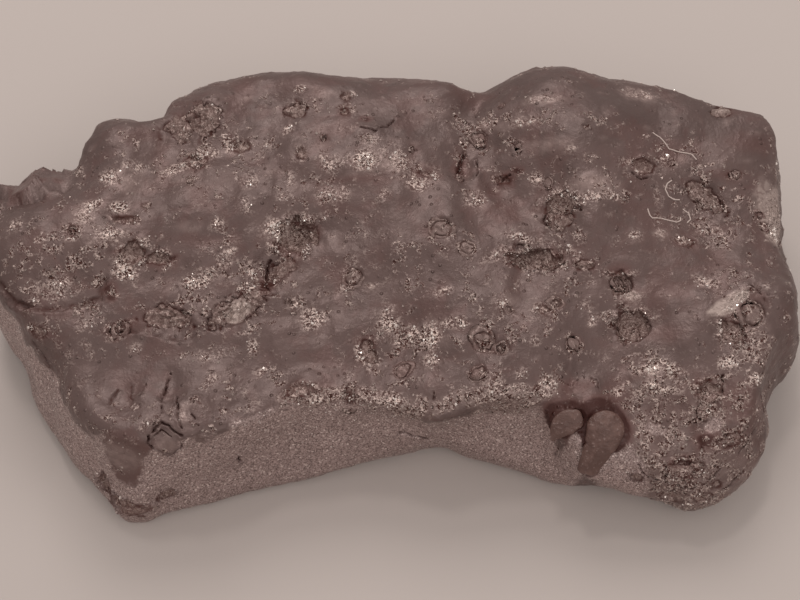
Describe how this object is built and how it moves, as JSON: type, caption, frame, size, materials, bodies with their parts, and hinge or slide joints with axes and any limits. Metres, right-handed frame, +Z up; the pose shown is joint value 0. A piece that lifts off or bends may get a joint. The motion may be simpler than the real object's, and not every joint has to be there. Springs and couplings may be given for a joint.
{
  "type": "silicomanganese lump",
  "caption": "Broken lump of cast alloy: a thick slab with a blistered, lobed skin on top, rough broken sides and a flat underside that it rests on.",
  "frame": {"origin": "on the floor under the middle of the lump", "axes": "+X along the length, +Y from the broken front face towards the back, +Z up through the cast skin"},
  "size_m": [0.104, 0.059, 0.023],
  "materials": {
    "silicomanganese": "as-cast skin, dark pinkish brown with a dull metallic gloss on its crests; broken sides are fine-grained and grey-brown"
  },
  "bodies": {
    "root": {"lump": "silicomanganese"}
  },
  "joints": []
}
